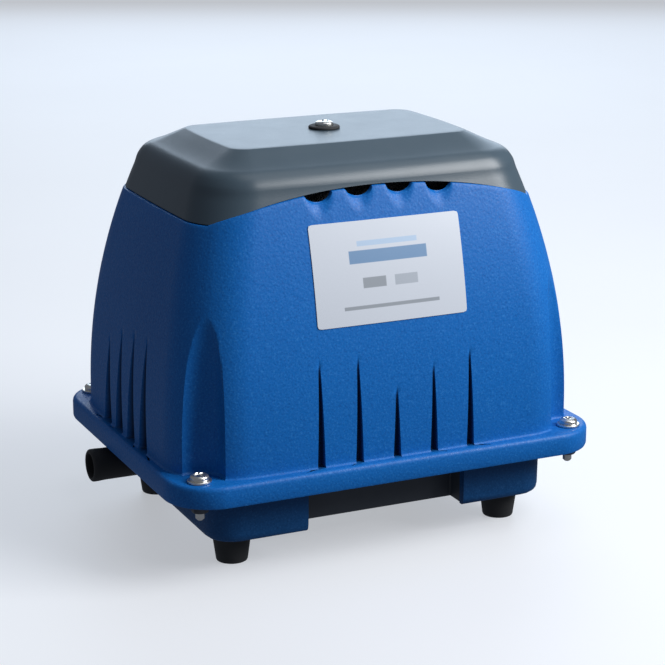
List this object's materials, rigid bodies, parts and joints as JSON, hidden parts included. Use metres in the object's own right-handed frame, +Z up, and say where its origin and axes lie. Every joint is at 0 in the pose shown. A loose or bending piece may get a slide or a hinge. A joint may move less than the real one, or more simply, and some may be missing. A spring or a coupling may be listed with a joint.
{
  "type": "air pump",
  "caption": "Linear diaphragm air pump in a tapered blue cast housing with a dark arched filter cover, rubber feet and a side hose outlet.",
  "frame": {"origin": "on the standing surface, under the centre of the outer box (outlet hose included)", "axes": "+X along the long front towards the end without the outlet, -Y out of the labelled front, +Z up"},
  "size_m": [0.25, 0.194, 0.2172],
  "materials": {
    "blue_paint": "blue textured powder coat on a casting, satin, with fine raised speckle",
    "base_paint": "darker blue textured powder coat, satin",
    "cover_plastic": "dark slate moulded plastic, satin with a fine spark-eroded grain",
    "label": "smooth white coated label",
    "black_plastic": "black moulded plastic, matt",
    "black_rubber": "black moulded rubber, matt",
    "zinc": "bright zinc plate",
    "cast_aluminium": "bare casting, lightly blasted",
    "laminated_steel": "varnished laminations",
    "copper_winding": "enamelled copper wire under clear tape",
    "nylon": "natural nylon, satin",
    "filter_foam": "open-cell reticulated foam",
    "ferrite": "dark sintered magnet, ground faces"
  },
  "bodies": {
    "pump": {"upper_housing": "blue_paint", "rating_label": "label", "lower_housing": "base_paint", "housing_gasket": "black_rubber", "air_tank": "black_plastic", "tank_lid": "black_plastic", "outlet_hose": "black_rubber", "outlet_clip": "zinc", "foot_rear_right": "black_rubber", "foot_rear_left": "black_rubber", "foot_front_left": "black_rubber", "foot_front_right": "black_rubber", "flange_screw_rear_right": "zinc", "flange_screw_rear_left": "zinc", "flange_screw_front_left": "zinc", "flange_screw_front_right": "zinc", "flange_nut_rear_right": "zinc", "flange_nut_rear_left": "zinc", "flange_nut_front_left": "zinc", "flange_nut_front_right": "zinc", "cable_gland": "black_plastic", "gland_nut": "black_plastic", "filter_tray": "black_plastic", "motor_frame": "cast_aluminium", "terminal_block": "nylon", "damper_rear_right": "black_rubber", "damper_rear_left": "black_rubber", "damper_front_left": "black_rubber", "damper_front_right": "black_rubber", "stator_core_rear": "laminated_steel", "stator_core_front": "laminated_steel", "bobbin_rear": "nylon", "bobbin_front": "nylon", "coil_rear": "copper_winding", "coil_front": "copper_winding", "valve_box_right": "cast_aluminium", "head_cover_right": "cast_aluminium", "diaphragm_right": "black_rubber", "connector_tube_right": "black_rubber", "valve_box_left": "cast_aluminium", "head_cover_left": "cast_aluminium", "diaphragm_left": "black_rubber", "connector_tube_left": "black_rubber"},
    "cover": {"filter_cover": "cover_plastic", "cover_washer": "black_rubber"},
    "cover_screw": {"cover_screw": "zinc"},
    "filter": {"filter_foam": "filter_foam"},
    "armature": {"armature_rod": "cast_aluminium", "magnet_right": "ferrite", "diaphragm_plate_right": "cast_aluminium", "rod_nut_right": "zinc", "magnet_left": "ferrite", "diaphragm_plate_left": "cast_aluminium", "rod_nut_left": "zinc"},
    "intake_flap_right": {"intake_flap_right": "black_rubber"},
    "delivery_flap_right": {"delivery_flap_right": "black_rubber"},
    "intake_flap_left": {"intake_flap_left": "black_rubber"},
    "delivery_flap_left": {"delivery_flap_left": "black_rubber"}
  },
  "joints": [
    {"name": "cover_lift", "type": "slide", "parent": "pump", "child": "cover", "axis": [0, 0, 1], "range_m": [0, 0.08]},
    {"name": "cover_screw_turn", "type": "hinge", "parent": "cover", "child": "cover_screw", "pos_m": [0.003, 0, 0.213], "axis": [0, 0, 1], "continuous": true},
    {"name": "filter_lift", "type": "slide", "parent": "pump", "child": "filter", "axis": [0, 0, 1], "range_m": [0, 0.04]},
    {"name": "armature_slide", "type": "slide", "parent": "pump", "child": "armature", "axis": [1, 0, 0], "range_m": [-0.003, 0.003], "stiffness_N_per_m": 2500, "deforming": ["diaphragm_right", "diaphragm_left"]},
    {"name": "intake_flap_right_swing", "type": "hinge", "parent": "pump", "child": "intake_flap_right", "pos_m": [0.0742, 0, 0.1355], "axis": [0, 1, 0], "range_deg": [0, 15], "stiffness_Nm_per_rad": 0.02},
    {"name": "delivery_flap_right_swing", "type": "hinge", "parent": "pump", "child": "delivery_flap_right", "pos_m": [0.0818, 0, 0.1015], "axis": [0, -1, 0], "range_deg": [0, 15], "stiffness_Nm_per_rad": 0.02},
    {"name": "intake_flap_left_swing", "type": "hinge", "parent": "pump", "child": "intake_flap_left", "pos_m": [-0.0682, 0, 0.1355], "axis": [0, -1, 0], "range_deg": [0, 15], "stiffness_Nm_per_rad": 0.02},
    {"name": "delivery_flap_left_swing", "type": "hinge", "parent": "pump", "child": "delivery_flap_left", "pos_m": [-0.0758, 0, 0.1015], "axis": [0, 1, 0], "range_deg": [0, 15], "stiffness_Nm_per_rad": 0.02}
  ],
  "couplings": [
    {"joint": "filter_lift", "follows": "cover_lift", "ratio": 0.5}
  ]
}
